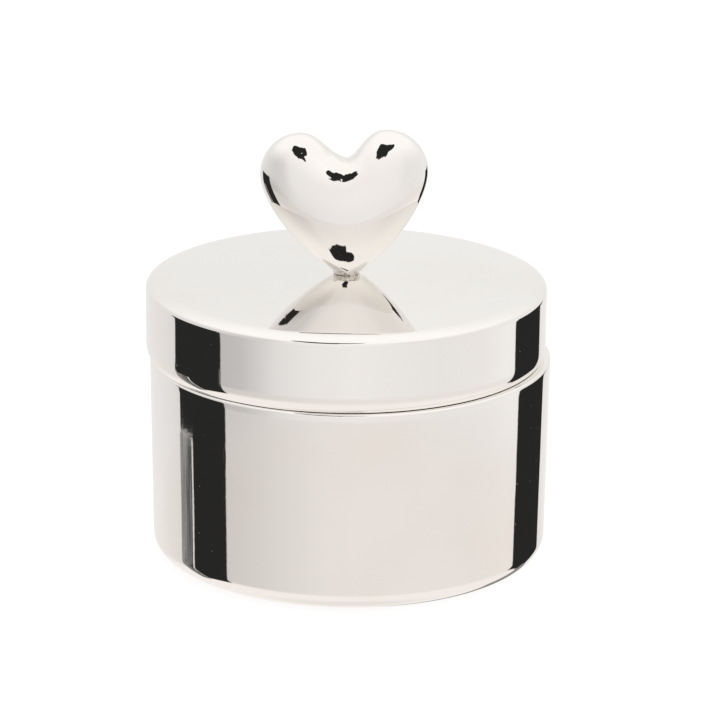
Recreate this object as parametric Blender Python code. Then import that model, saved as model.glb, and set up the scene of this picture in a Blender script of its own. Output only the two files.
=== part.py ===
"""Round silver-plated trinket box with a heart-shaped knob on its lift-off lid.

The foot stands on the XY plane, the box is turned about +Z, and the heart faces -Y.
"""

from math import cos, pi, radians, sin, tan

import bmesh
import bpy
import numpy as np
from mathutils import Matrix, Vector

MM = 0.001

# Driving dimensions
LID_RADIUS = 32.0 * MM
BODY_RADIUS = 32.1 * MM          # at the mouth
BODY_TAPER = 0.43 * MM           # how much smaller the radius is at the foot
SEAM_HEIGHT = 32.88 * MM         # between the body's rim and the lid's edge
SHOULDER_HEIGHT = 45.0 * MM      # of the lid's dome, near its edge
SHEET = 0.9 * MM                 # thickness of the drawn metal
GAP = 0.3 * MM                   # between pieces that touch

FOOT_CORNER_RADIUS = 3.0 * MM
FOOT_LIFT = 0.2 * MM             # the felt stands this much lower than the metal foot
FOOT_RING_INNER = 27.2 * MM      # inner radius of the metal the box stands on
RECESS_RADIUS = 26.6 * MM
RECESS_HEIGHT = 1.3 * MM
RIM_RADIUS = 0.5 * MM            # rounding of the body's inturned rim
BODY_LIP_INNER = 29.0 * MM       # inner radius of the body's inturned rim
LID_LIP_INNER = 29.7 * MM        # inner radius of the lid's inturned lip
LID_OFFSET = -0.7 * MM           # the loose lid rests this far along X from the body's axis

LID_DOME_RADIUS = 30.0 * MM      # where the dome has its height and slope
LID_DOME_SLOPE = radians(3.8)
LID_ROLL_OFF = 2.5 * MM          # width of the roll-off between the dome and the crisp upper edge
LID_CREST_INSET = 0.3 * MM       # the crisp edge stands this far inside the wall
LID_CREST_DROP = 0.6 * MM        # and this far below the dome
LID_CREST_FALL = 0.75 * MM       # from the crisp edge down to the straight wall
LID_TUCK_HEIGHT = 2.8 * MM       # the wall curves inwards from this far above the lid's lower edge
LID_TUCK_DEPTH = 0.45 * MM
LID_EDGE_ROUNDING = 0.22 * MM

NECK_OUTER = 28.7 * MM
NECK_WALL = 0.8 * MM
NECK_RISE = 4.1 * MM             # how far it stands up above the seam
NECK_FLANGE_RADIUS = 30.7 * MM

BOARD_THICKNESS = 1.2 * MM
FLOOR_PAD_THICKNESS = 3.0 * MM
LID_PAD_THICKNESS = 2.5 * MM
PAD_ROUNDING = 1.1 * MM
LINING_OUTER = 30.4 * MM
LINING_WALL = 1.2 * MM

SCREW_SHANK_RADIUS = 1.0 * MM
SCREW_HOLE_RADIUS = 1.3 * MM
SCREW_HEAD_RADIUS = 2.3 * MM
SCREW_HEAD_HEIGHT = 1.5 * MM
SCREW_REACH = 7.0 * MM           # length of the shank inside the heart
WASHER_RADIUS = 3.2 * MM
WASHER_THICKNESS = 0.6 * MM
COLLAR_RADIUS = 2.15 * MM
COLLAR_HEIGHT = 0.5 * MM
COLLAR_GAP = 0.2 * MM            # below the collar and above it

HEART_HALF_WIDTH = 13.37 * MM
HEART_WIDEST_HEIGHT = 16.23 * MM
HEART_LOBE_OFFSET = 6.8 * MM     # from the heart's middle to the top of a lobe
HEART_LOBE_HEIGHT = 22.83 * MM
HEART_CLEFT_HEIGHT = 18.61 * MM
HEART_CLEFT_SLOPE = radians(-24.0)   # the valley between the lobes falls towards +X
HEART_TIP_DROP = 0.85 * MM       # the outline's tip lies this much below the heart's datum
HEART_DATUM_RISE = 0.04 * MM     # datum above the middle of the lid's top
HEART_HALF_THICKNESS = 5.6 * MM
HEART_SWELL_POWER = 0.42         # below a half, the faces are flatter and the edges fuller
HEART_LEAN = radians(3.6)        # the knob leans a little towards -X
HEART_LEAN_BACK = radians(4.5)   # and a little backwards, towards +Y
HEART_TURN = radians(-4.0)       # and is turned a little towards -X about the vertical
HEART_SHIFT = 0.4 * MM           # along X, from the lid's axis
# Handle lengths of the outline's curves
TIP_HANDLE = (6.4 * MM, 3.02 * MM)    # across and up from the tip
SIDE_HANDLE = 5.17 * MM           # down from the widest point
SHOULDER_HANDLE = 3.78 * MM      # up from the widest point
LOBE_OUTER_HANDLE = 3.52 * MM
LOBE_INNER_HANDLE = {-1: 2.95 * MM, 1: 3.5 * MM}
CLEFT_HANDLE = {-1: 3.0 * MM, 1: 2.05 * MM}

STEPS = 64                       # facets around a large turned piece
SMALL_STEPS = 24                 # facets around a small turned piece
HEART_RINGS = 8                  # rings of faces between the heart's edge and its middle
MERGE = 1e-6


# ---------------------------------------------------------------- materials

def make_material(name, colour, metallic, roughness):
    """A Principled material with the piece's colour, metallic value and roughness."""
    material = bpy.data.materials.new(name)
    material.use_nodes = True
    shader = material.node_tree.nodes["Principled BSDF"]
    shader.inputs["Base Color"].default_value = (*colour, 1.0)
    shader.inputs["Metallic"].default_value = metallic
    shader.inputs["Roughness"].default_value = roughness
    material.diffuse_color = (*colour, 1.0)
    return material


def silver(name, roughness=0.06):
    """Polished silver plate, faintly warm."""
    return make_material(name, (0.93, 0.91, 0.88), 1.0, roughness)


def velvet(name):
    """Dark blue velvet of the lining."""
    return make_material(name, (0.03, 0.04, 0.10), 0.0, 0.95)


def card(name):
    """Grey board that stiffens the lining."""
    return make_material(name, (0.45, 0.42, 0.38), 0.0, 0.9)


# ---------------------------------------------------------------- shapes

def arc(centre_r, centre_z, radius, start, end, count):
    """Points (r, z) along an arc in the turning plane, angles in degrees from +R towards +Z."""
    points = []
    for index in range(count + 1):
        angle = radians(start + (end - start) * index / count)
        points.append((centre_r + radius * cos(angle), centre_z + radius * sin(angle)))
    return points


def bezier(start, leave, arrive, end, count):
    """Points along a cubic curve, its end left out so that curves can be chained."""
    points = []
    for index in range(count):
        t = index / count
        weights = ((1 - t) ** 3, 3 * (1 - t) ** 2 * t, 3 * (1 - t) * t ** 2, t ** 3)
        corners = (start, leave, arrive, end)
        points.append([sum(w * c[axis] for w, c in zip(weights, corners)) for axis in (0, 1)])
    return points


def disc_profile(radius, bottom, top, rounding=0.0):
    """Half section of a disc, from the axis along its top and down its edge back to the axis."""
    if rounding == 0.0:
        return [(0.0, top), (radius, top), (radius, bottom), (0.0, bottom)]
    edge = radius - rounding
    return ([(0.0, top)] + arc(edge, top - rounding, rounding, 90, 0, 4)
            + [(radius, bottom), (0.0, bottom)])


def ring_profile(inner, outer, bottom, top):
    """Rectangular section of a ring, down its outer side first."""
    return [(outer, top), (outer, bottom), (inner, bottom), (inner, top)]


def add_object(name, mesh, material):
    """Link a mesh as an object with its own material, shaded smooth but for its sharp edges."""
    mesh.materials.append(material)
    mesh.shade_smooth()
    mesh.set_sharp_from_angle(angle=radians(32))
    piece = bpy.data.objects.new(name, mesh)
    bpy.context.scene.collection.objects.link(piece)
    return piece


def turned(name, profile, material, steps=STEPS):
    """Spin a half section about Z. A section that starts on the axis is left open there."""
    shape = bmesh.new()
    points = [shape.verts.new((r, 0.0, z)) for r, z in profile]
    edges = [shape.edges.new(pair) for pair in zip(points, points[1:])]
    if profile[0][0] > 0.0:
        edges.append(shape.edges.new((points[-1], points[0])))
    bmesh.ops.spin(shape, geom=points + edges, cent=(0, 0, 0), axis=(0, 0, 1), dvec=(0, 0, 0),
                   angle=2 * pi, steps=steps, use_merge=True, use_duplicate=False)
    bmesh.ops.remove_doubles(shape, verts=shape.verts, dist=MERGE)
    bmesh.ops.recalc_face_normals(shape, faces=shape.faces)
    mesh = bpy.data.meshes.new(name)
    shape.to_mesh(mesh)
    shape.free()
    return add_object(name, mesh, material)


def cut_from(piece, name, cutter_shape):
    """Subtract a closed bmesh from a piece, leaving the cutter hidden."""
    mesh = bpy.data.meshes.new(name)
    cutter_shape.to_mesh(mesh)
    cutter_shape.free()
    cutter = bpy.data.objects.new(name, mesh)
    cutter.hide_render = True
    cutter.display_type = "WIRE"
    bpy.context.scene.collection.objects.link(cutter)
    cut = piece.modifiers.new(name, "BOOLEAN")
    cut.operation = "DIFFERENCE"
    cut.object = cutter


# ---------------------------------------------------------------- base

RIM_TOP = SEAM_HEIGHT - GAP / 2
LID_EDGE = SEAM_HEIGHT + GAP / 2
FLOOR_TOP = RECESS_HEIGHT + SHEET
FLANGE_TOP = RIM_TOP - SHEET - GAP
FLANGE_BOTTOM = FLANGE_TOP - SHEET


def body_shell():
    """Drawn cup: tapered wall, rounded foot with a recess under it, and an inturned rim."""
    foot_radius = BODY_RADIUS - BODY_TAPER
    corner_r = foot_radius - FOOT_CORNER_RADIUS
    corner_z = FOOT_LIFT + FOOT_CORNER_RADIUS
    rim_r = BODY_RADIUS - RIM_RADIUS
    rim_z = RIM_TOP - RIM_RADIUS
    outside = [(BODY_LIP_INNER, RIM_TOP)]
    outside += arc(rim_r, rim_z, RIM_RADIUS, 90, 0, 3)
    outside += arc(corner_r, corner_z, FOOT_CORNER_RADIUS, 0, -90, 5)
    outside += [(FOOT_RING_INNER, FOOT_LIFT), (RECESS_RADIUS, RECESS_HEIGHT), (0.0, RECESS_HEIGHT)]
    inside = [(0.0, FLOOR_TOP), (RECESS_RADIUS + SHEET / 2, FLOOR_TOP),
              (FOOT_RING_INNER + SHEET / 2, FOOT_LIFT + SHEET)]
    inside += arc(corner_r, corner_z, FOOT_CORNER_RADIUS - SHEET, -90, 0, 4)
    inside += [(BODY_RADIUS - SHEET, RIM_TOP - SHEET), (BODY_LIP_INNER, RIM_TOP - SHEET)]
    # One open line: from the axis over the inside to the lip, and back under the foot to the axis
    return turned("body_shell", inside + outside, silver("body_silver"))


def base_felt():
    """Felt disc in the foot's recess: the face that the box rests on."""
    section = disc_profile(RECESS_RADIUS - 2 * GAP, 0.0, RECESS_HEIGHT - GAP)
    return turned("base_felt", section, make_material("felt", (0.02, 0.03, 0.06), 0.0, 1.0))


def floor_board():
    """Card disc on the floor of the body."""
    bottom = FLOOR_TOP + GAP
    section = disc_profile(LINING_OUTER - LINING_WALL - GAP, bottom, bottom + BOARD_THICKNESS)
    return turned("floor_board", section, card("floor_card"))


def floor_pad():
    """Velvet-covered pad on the floor board."""
    bottom = FLOOR_TOP + BOARD_THICKNESS + 2 * GAP
    radius = LINING_OUTER - LINING_WALL - GAP
    section = disc_profile(radius, bottom, bottom + FLOOR_PAD_THICKNESS, PAD_ROUNDING)
    return turned("floor_pad", section, velvet("floor_velvet"))


def wall_lining():
    """Velvet-covered card sleeve between the floor's corner and the neck ring's flange."""
    bottom = FOOT_LIFT + FOOT_CORNER_RADIUS + GAP / 2
    section = ring_profile(LINING_OUTER - LINING_WALL, LINING_OUTER, bottom, FLANGE_BOTTOM - GAP)
    return turned("wall_lining", section, velvet("wall_velvet"))


def neck_ring():
    """Ring that centres the lid: a flange under the body's rim holds it in the mouth."""
    inner = NECK_OUTER - NECK_WALL
    top = SEAM_HEIGHT + NECK_RISE
    lead = NECK_WALL / 2
    section = [(NECK_OUTER - lead, top), (NECK_OUTER, top - lead), (NECK_OUTER, FLANGE_TOP),
               (NECK_FLANGE_RADIUS, FLANGE_TOP), (NECK_FLANGE_RADIUS, FLANGE_BOTTOM),
               (inner, FLANGE_BOTTOM), (inner, top)]
    return turned("neck_ring", section, silver("neck_silver", 0.12))


# ---------------------------------------------------------------- lid

def dome_height(radius, thickness=0.0):
    """Height of the lid's shallow dome, or of its underside, at a radius."""
    curve = tan(LID_DOME_SLOPE) / (2 * LID_DOME_RADIUS)
    return SHOULDER_HEIGHT + curve * (LID_DOME_RADIUS ** 2 - radius ** 2) - thickness


def lid_outside():
    """Section of the lid's outer side, from where its dome rolls off to its lower edge."""
    crest = (LID_RADIUS - LID_CREST_INSET, SHOULDER_HEIGHT - LID_CREST_DROP)
    start_r = crest[0] - LID_ROLL_OFF
    start = (start_r, dome_height(start_r))
    wall_top = (LID_RADIUS, crest[1] - LID_CREST_FALL)
    tuck = (LID_RADIUS, LID_EDGE + LID_TUCK_HEIGHT)
    end = (LID_RADIUS - LID_TUCK_DEPTH, LID_EDGE + LID_EDGE_ROUNDING)
    slope = tan(LID_DOME_SLOPE)
    points = bezier(start, (start_r + 1.1 * MM, start[1] - 1.1 * MM * slope),
                    (crest[0] - 0.35 * MM, crest[1] + 0.22 * MM), crest, 3)
    points += bezier(crest, (crest[0] + 0.15 * MM, crest[1] - 0.14 * MM),
                     (wall_top[0], wall_top[1] + 0.4 * MM), wall_top, 3)
    points += bezier(tuck, (tuck[0], tuck[1] - 1.4 * MM), (end[0] + 0.4 * MM, end[1] + 0.75 * MM), end, 4)
    return points + [end, (end[0] - LID_EDGE_ROUNDING, LID_EDGE)]


def lid_shell():
    """Drawn lid: dome with a screw hole, crisp upper edge, wall tucked in below, inturned lip."""
    stations = [SCREW_HOLE_RADIUS, LID_RADIUS * 0.35, LID_RADIUS * 0.65]
    wall_inner = LID_RADIUS - SHEET
    corner = 0.9 * MM
    section = [(r, dome_height(r)) for r in stations] + lid_outside()
    section += [(LID_LIP_INNER, LID_EDGE), (LID_LIP_INNER, LID_EDGE + SHEET)]
    section += [(wall_inner - LID_TUCK_DEPTH, LID_EDGE + SHEET),
                (wall_inner, LID_EDGE + LID_TUCK_HEIGHT)]
    section += arc(wall_inner - corner, SHOULDER_HEIGHT - SHEET - corner, corner, 0, 90, 3)
    section += [(r, dome_height(r, SHEET)) for r in reversed(stations)]
    return turned("lid_shell", section, silver("lid_silver"))


LID_CEILING = dome_height(SCREW_HOLE_RADIUS, SHEET)
WASHER_BOTTOM = LID_CEILING - GAP - WASHER_THICKNESS
HEAD_TOP = WASHER_BOTTOM - GAP
HEAD_BOTTOM = HEAD_TOP - SCREW_HEAD_HEIGHT
BOARD_TOP = dome_height(LID_LIP_INNER, SHEET) - 2 * GAP
HEART_DATUM = dome_height(0.0) + HEART_DATUM_RISE
HEART_SEAT = dome_height(0.0) + COLLAR_HEIGHT + 2 * COLLAR_GAP


def lid_board():
    """Card ring in the lid, open in its middle for the washer and the screw's head."""
    hole = WASHER_RADIUS + 2 * GAP
    section = ring_profile(hole, LID_LIP_INNER - 2 * GAP, HEAD_BOTTOM, BOARD_TOP)
    return turned("lid_board", section, card("lid_card"))


def lid_pad():
    """Velvet-covered pad under the lid's board, its puffed side facing down."""
    top = HEAD_BOTTOM - GAP
    bottom = top - LID_PAD_THICKNESS
    radius = LID_LIP_INNER - GAP
    edge = radius - PAD_ROUNDING
    section = ([(0.0, top), (radius, top)]
               + arc(edge, bottom + PAD_ROUNDING, PAD_ROUNDING, 0, -90, 4) + [(0.0, bottom)])
    return turned("lid_pad", section, velvet("lid_velvet"))


def knob_washer():
    """Washer between the lid's underside and the screw's head."""
    section = ring_profile(SCREW_HOLE_RADIUS, WASHER_RADIUS, WASHER_BOTTOM,
                           WASHER_BOTTOM + WASHER_THICKNESS)
    return turned("knob_washer", section, silver("washer_steel", 0.3), SMALL_STEPS)


def knob_collar():
    """Small ring between the lid's top and the heart's tip."""
    bottom = dome_height(0.0) + COLLAR_GAP
    top = bottom + COLLAR_HEIGHT
    bulge = 0.2 * MM
    section = [(COLLAR_RADIUS - bulge, top), (COLLAR_RADIUS, (top + bottom) / 2),
               (COLLAR_RADIUS - bulge, bottom), (SCREW_HOLE_RADIUS, bottom), (SCREW_HOLE_RADIUS, top)]
    return turned("knob_collar", section, silver("collar_silver", 0.25), SMALL_STEPS)


def knob_screw():
    """Pan-head screw up through washer, lid and collar into the heart, slotted across its head."""
    tip = HEART_SEAT + SCREW_REACH
    chamfer = 0.4 * MM
    section = [(0.0, tip), (SCREW_SHANK_RADIUS - chamfer, tip), (SCREW_SHANK_RADIUS, tip - chamfer),
               (SCREW_SHANK_RADIUS, HEAD_TOP), (SCREW_HEAD_RADIUS, HEAD_TOP),
               (SCREW_HEAD_RADIUS, HEAD_BOTTOM + chamfer), (SCREW_HEAD_RADIUS - chamfer, HEAD_BOTTOM),
               (0.0, HEAD_BOTTOM)]
    screw = turned("knob_screw", section, silver("screw_steel", 0.3), SMALL_STEPS)
    slot_width = 0.7 * MM
    slot_depth = 0.8 * MM
    slot = bmesh.new()
    bmesh.ops.create_cube(slot, size=1.0)
    size = Matrix.Diagonal((slot_width, 3 * SCREW_HEAD_RADIUS, 2 * slot_depth, 1.0))
    bmesh.ops.transform(slot, matrix=Matrix.Translation((0, 0, HEAD_BOTTOM)) @ size, verts=slot.verts)
    cut_from(screw, "slot_cutter", slot)
    return screw


# ---------------------------------------------------------------- heart

def half_outline(side, side_count, lobe_count, cleft_count):
    """Outline (x, z) from the tip over one lobe to the cleft, on the +X or the -X side."""
    tip = (0.0, -HEART_TIP_DROP)
    wide = (side * HEART_HALF_WIDTH, HEART_WIDEST_HEIGHT)
    lobe = (side * HEART_LOBE_OFFSET, HEART_LOBE_HEIGHT)
    cleft = (0.0, HEART_CLEFT_HEIGHT)
    from_tip = (side * TIP_HANDLE[0], tip[1] + TIP_HANDLE[1])
    from_lobe = (lobe[0] + side * LOBE_OUTER_HANDLE, lobe[1])
    into_cleft = (side * CLEFT_HANDLE[side] * cos(HEART_CLEFT_SLOPE),
                  cleft[1] + side * CLEFT_HANDLE[side] * sin(HEART_CLEFT_SLOPE))
    points = bezier(tip, from_tip, (wide[0], wide[1] - SIDE_HANDLE), wide, side_count)
    points += bezier(wide, (wide[0], wide[1] + SHOULDER_HANDLE), from_lobe, lobe, lobe_count)
    points += bezier(lobe, (lobe[0] - side * LOBE_INNER_HANDLE[side], lobe[1]), into_cleft, cleft,
                     cleft_count)
    points.append(list(cleft))
    return points


def heart_outline(side_count, lobe_count, cleft_count):
    """Closed outline (x, z) of the heart: up its +X half, and back down its -X half."""
    right = half_outline(1, side_count, lobe_count, cleft_count)
    left = half_outline(-1, side_count, lobe_count, cleft_count)
    return np.array(right + left[-2:0:-1])


HEART_MIDDLE = np.array([0.0, 12.67 * MM])
CLEFT_SOURCES = (1.5 * MM, 3.0 * MM, 5.0 * MM)
HARMONIC_ORDER = 12


def swell_terms(points):
    """Harmonic functions whose mix gives the heart's swelling: one row per point."""
    plane = (points[:, 1] - HEART_MIDDLE[1] + 1j * points[:, 0]) / HEART_HALF_WIDTH
    columns = [np.real(plane ** power) for power in range(HARMONIC_ORDER + 1)]
    columns += [np.imag(plane ** power) for power in range(1, HARMONIC_ORDER + 1)]
    for rise in CLEFT_SOURCES:
        height = points[:, 1] - HEART_CLEFT_HEIGHT - rise
        columns.append(np.log(np.hypot(points[:, 0], height) / HEART_HALF_WIDTH))
    return np.array(columns).T


def bowl(points):
    """The quarter of the squared distance from the heart's middle."""
    return ((points - HEART_MIDDLE) ** 2).sum(axis=1) / 4


def heart_rings(outline, ring_count):
    """Rings of points with their swelling, from the outline in to the middle.

    The heart is swollen like a membrane blown up over its outline: the swelling follows
    Poisson's equation, solved here by fitting harmonic terms on the outline.
    """
    fine = heart_outline(60, 40, 40)     # where the terms are fitted
    mix = np.linalg.lstsq(swell_terms(fine), bowl(fine), rcond=1e-10)[0]
    excess = swell_terms(outline) @ mix - bowl(outline)
    rings = []
    for index in range(ring_count):
        shrink = cos(pi / 2 * index / ring_count)
        points = HEART_MIDDLE + shrink * (outline - HEART_MIDDLE)
        swell = swell_terms(points) @ mix - bowl(points) - excess * shrink ** 4
        rings.append((points, np.maximum(swell, 0.0)))
    middle = HEART_MIDDLE[None, :]
    peak = float((swell_terms(middle) @ mix)[0])
    return rings, peak


def heart_surface():
    """Closed mesh of the swollen heart about the plane y = 0."""
    outline = heart_outline(11, 8, 7)
    rings, peak = heart_rings(outline, HEART_RINGS)
    scale = HEART_HALF_THICKNESS / max(peak, max(float(s.max()) for _, s in rings)) ** HEART_SWELL_POWER
    shape = bmesh.new()
    edge = [shape.verts.new((x, 0.0, z)) for x, z in outline]
    for side in (-1.0, 1.0):
        previous = edge
        for points, swell in rings[1:]:
            current = [shape.verts.new((x, side * scale * s ** HEART_SWELL_POWER, z))
                       for (x, z), s in zip(points, swell)]
            count = len(current)
            for index in range(count):
                after = (index + 1) % count
                shape.faces.new((previous[index], previous[after], current[after], current[index]))
            previous = current
        pole = shape.verts.new((0.0, side * scale * peak ** HEART_SWELL_POWER, HEART_MIDDLE[1]))
        for index in range(len(previous)):
            shape.faces.new((previous[index], previous[(index + 1) % len(previous)], pole))
    bmesh.ops.recalc_face_normals(shape, faces=shape.faces)
    return shape


def heart_knob():
    """Heart with its tip cut flat on the collar and a blind hole for the screw."""
    shape = heart_surface()
    lean = Matrix.Rotation(-HEART_LEAN, 4, "Y") @ Matrix.Rotation(-HEART_LEAN_BACK, 4, "X")
    tilt = Matrix.Rotation(HEART_TURN, 4, "Z") @ lean
    place = Matrix.Translation((HEART_SHIFT, 0.0, HEART_DATUM)) @ tilt
    bmesh.ops.transform(shape, matrix=place, verts=shape.verts)
    everything = shape.verts[:] + shape.edges[:] + shape.faces[:]
    cut = bmesh.ops.bisect_plane(shape, geom=everything, dist=MERGE, plane_co=Vector((0, 0, HEART_SEAT)),
                                 plane_no=Vector((0, 0, 1)), clear_inner=True)
    open_edges = [item for item in cut["geom_cut"] if isinstance(item, bmesh.types.BMEdge)]
    bmesh.ops.contextual_create(shape, geom=open_edges)
    bmesh.ops.recalc_face_normals(shape, faces=shape.faces)
    mesh = bpy.data.meshes.new("heart_knob")
    shape.to_mesh(mesh)
    shape.free()
    heart = add_object("heart_knob", mesh, silver("heart_silver"))
    hole_bottom = HEART_SEAT - 1.0 * MM
    hole_top = HEART_SEAT + SCREW_REACH + GAP
    hole = bmesh.new()
    bmesh.ops.create_cone(hole, cap_ends=True, segments=SMALL_STEPS, radius1=SCREW_HOLE_RADIUS,
                          radius2=SCREW_HOLE_RADIUS, depth=hole_top - hole_bottom)
    bmesh.ops.translate(hole, verts=hole.verts, vec=(0, 0, (hole_top + hole_bottom) / 2))
    cut_from(heart, "hole_cutter", hole)
    return heart


# ---------------------------------------------------------------- assembly

def add_axis(name, x=0.0, parent=None):
    """Empty on a vertical axis that a moving group hangs from."""
    axis = bpy.data.objects.new(name, None)
    axis.empty_display_size = 10 * MM
    bpy.context.scene.collection.objects.link(axis)
    axis.location = (x, 0.0, 0.0)
    axis.parent = parent
    return axis


def build():
    """Make every piece, the lid's and the neck ring's hanging from the axes they move on."""
    for old in list(bpy.data.objects):
        bpy.data.objects.remove(old, do_unlink=True)
    for make_base_piece in (body_shell, base_felt, floor_board, floor_pad, wall_lining):
        make_base_piece()
    turn_axis = add_axis("lid_turn_axis")
    neck_ring().parent = turn_axis
    lid_axis = add_axis("lid_lift_axis", LID_OFFSET, turn_axis)
    lid_pieces = (lid_shell, lid_board, lid_pad, knob_washer, knob_collar, knob_screw, heart_knob)
    for make_lid_piece in lid_pieces:
        make_lid_piece().parent = lid_axis
    for cutter in [item for item in bpy.data.objects if item.display_type == "WIRE"]:
        cutter.parent = lid_axis


build()
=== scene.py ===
"""Look of the round silver-plated trinket box with a heart-shaped knob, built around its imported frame.

Lengths are in metres, and each piece is modelled where the frame puts it.
"""

from math import cos, degrees, pi, radians, sin, tan

import bmesh
import bpy
import numpy as np
from mathutils import Matrix, Vector, noise


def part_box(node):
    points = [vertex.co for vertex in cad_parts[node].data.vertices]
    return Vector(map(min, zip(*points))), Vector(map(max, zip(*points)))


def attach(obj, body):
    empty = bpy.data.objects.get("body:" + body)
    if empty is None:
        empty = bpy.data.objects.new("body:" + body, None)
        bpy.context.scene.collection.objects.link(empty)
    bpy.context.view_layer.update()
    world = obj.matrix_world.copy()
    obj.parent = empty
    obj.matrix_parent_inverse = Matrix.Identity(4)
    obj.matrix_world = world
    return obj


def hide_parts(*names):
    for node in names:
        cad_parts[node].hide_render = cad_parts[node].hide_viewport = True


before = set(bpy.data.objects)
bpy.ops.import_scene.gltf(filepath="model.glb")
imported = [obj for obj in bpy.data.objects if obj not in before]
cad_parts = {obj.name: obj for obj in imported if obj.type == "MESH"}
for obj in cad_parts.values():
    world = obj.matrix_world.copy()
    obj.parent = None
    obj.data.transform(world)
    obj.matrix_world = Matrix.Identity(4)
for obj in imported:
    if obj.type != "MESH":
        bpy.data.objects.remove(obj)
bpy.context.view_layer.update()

MM = 0.001
MERGE = 1e-7

# The camera: where it stands, what it looks at, and its lens
CAMERA_DISTANCE = 0.660
CAMERA_ELEVATION = 0.3569        # radians above the horizon
CAMERA_TARGET = Vector((1.57, 0.0, 31.39)) * MM
CAMERA_ROLL = 0.0096             # radians
CAMERA_LENS = 202.3              # millimetres, on a sensor 36 mm wide

# Sheet metal, as in the frame's model
SHEET = 0.9 * MM
BODY_TAPER = 0.43 * MM
FOOT_CORNER_RADIUS = 3.0 * MM
FOOT_RING_INNER = 27.2 * MM
RECESS_RADIUS = 26.6 * MM
RECESS_RISE = 1.1 * MM           # of the recess above the metal foot
RIM_RADIUS = 0.5 * MM
BODY_LIP_INNER = 29.0 * MM
LID_LIP_INNER = 29.7 * MM
LID_DOME_RADIUS = 30.0 * MM      # where the dome has its slope
LID_DOME_SLOPE = radians(3.8)
LID_ROLL_OFF = 2.5 * MM          # width of the roll-off between the dome and the crisp upper edge
LID_CREST_INSET = 0.3 * MM       # the crisp edge stands this far inside the wall
LID_CREST_DROP = 0.6 * MM        # and this far below the dome
LID_CREST_FALL = 0.75 * MM       # from the crisp edge down to the straight wall
LID_TUCK_HEIGHT = 2.8 * MM       # the wall curves inwards from this far above the lid's lower edge
LID_TUCK_DEPTH = 0.45 * MM
LID_EDGE_ROUNDING = 0.22 * MM
BODY_LIP_ROUNDING = 0.3 * MM
LID_LIP_ROUNDING = 0.25 * MM
FOOT_RING_ROUNDING = 0.25 * MM
LID_INNER_CORNER = 0.9 * MM
SCREW_HOLE_RADIUS = 1.3 * MM
NECK_WALL = 0.8 * MM
NECK_GAP = 0.3 * MM              # between the neck ring and the body's lip
NECK_INNER_ROUNDING = 0.3 * MM

# Linings, which are covered card
LINING_WALL = 1.2 * MM
LINING_SEAM_DEPTH = 0.35 * MM
LINING_SEAM_WIDTH = 0.5 * MM
PAD_ROLL = 1.2 * MM              # rounding of a pad's show edge
PAD_CROWN = 0.9 * MM             # how much higher a pad is in its middle
FELT_ROUNDING = 0.25 * MM

# Heart, as in the frame's model
HEART_HALF_WIDTH = 13.37 * MM
HEART_WIDEST_HEIGHT = 16.23 * MM
HEART_LOBE_OFFSET = 6.8 * MM
HEART_LOBE_HEIGHT = 22.83 * MM
HEART_CLEFT_HEIGHT = 18.61 * MM
HEART_CLEFT_SLOPE = radians(-24.0)
HEART_TIP_DROP = 0.85 * MM
HEART_DATUM_RISE = 0.04 * MM
HEART_HALF_THICKNESS = 5.6 * MM
HEART_SWELL_POWER = 0.42
HEART_LEAN = radians(3.6)
HEART_LEAN_BACK = radians(4.5)
HEART_TURN = radians(-4.0)
HEART_SHIFT = 0.4 * MM
TIP_HANDLE = (6.4 * MM, 3.02 * MM)
SIDE_HANDLE = 5.17 * MM
SHOULDER_HANDLE = 3.78 * MM
LOBE_OUTER_HANDLE = 3.52 * MM
LOBE_INNER_HANDLE = {-1: 2.95 * MM, 1: 3.5 * MM}
CLEFT_HANDLE = {-1: 3.0 * MM, 1: 2.05 * MM}
HEART_MIDDLE = np.array([0.0, 12.67 * MM])
CLEFT_SOURCES = (1.5 * MM, 3.0 * MM, 5.0 * MM)
HARMONIC_ORDER = 12

# Fineness of the meshes
STEPS = 256                      # around a large turned piece
SMALL_STEPS = 96                 # around a small one
STATION = 0.9 * MM               # longest edge along a turned section
PAD_STEPS = 192                  # around a pad or the felt
HEART_RINGS = 44
HEART_COUNTS = (64, 40, 36)      # points along the side, the lobe and the cleft of half an outline
HEART_FIT_COUNTS = (60, 40, 40)  # the same, where the swelling's terms are fitted
SHARP = radians(40)

# Places read from the frame
BODY_LOW, BODY_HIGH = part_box("body_shell")
LID_LOW, LID_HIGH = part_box("lid_shell")
BODY_RADIUS = BODY_HIGH.x
LID_RADIUS = (LID_HIGH.x - LID_LOW.x) / 2
LID_CENTRE = (LID_HIGH.x + LID_LOW.x) / 2
LID_DOME_CURVE = tan(LID_DOME_SLOPE) / (2 * LID_DOME_RADIUS)
LID_TOP = LID_HIGH.z + LID_DOME_CURVE * SCREW_HOLE_RADIUS ** 2
HEART_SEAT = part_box("heart_knob")[0].z
SEAM_CLOSING = 0.12 * MM          # each side of the seam comes this much closer than in the frame


# ---------------------------------------------------------------- shader nodes

def add_node(tree, kind, values=None, **settings):
    """A node with some of its sockets' values and its own settings filled in."""
    made = tree.nodes.new(kind)
    for key, value in settings.items():
        setattr(made, key, value)
    for socket, value in (values or {}).items():
        target = made.inputs[socket]
        if isinstance(value, bpy.types.NodeSocket):
            tree.links.new(value, target)
        else:
            target.default_value = value
    return made


def math_node(tree, operation, first, second=0.0, third=0.0):
    """Result of one arithmetic step on sockets or numbers."""
    made = add_node(tree, "ShaderNodeMath", {0: first, 1: second, 2: third}, operation=operation)
    return made.outputs[0]


def remap(tree, value, low, high, to_low=0.0, to_high=1.0, smooth=True):
    """A value moved from one span to another, and held at the ends."""
    kind = "SMOOTHSTEP" if smooth else "LINEAR"
    made = add_node(tree, "ShaderNodeMapRange", {0: value, 1: low, 2: high, 3: to_low, 4: to_high},
                    interpolation_type=kind)
    return made.outputs[0]


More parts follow.
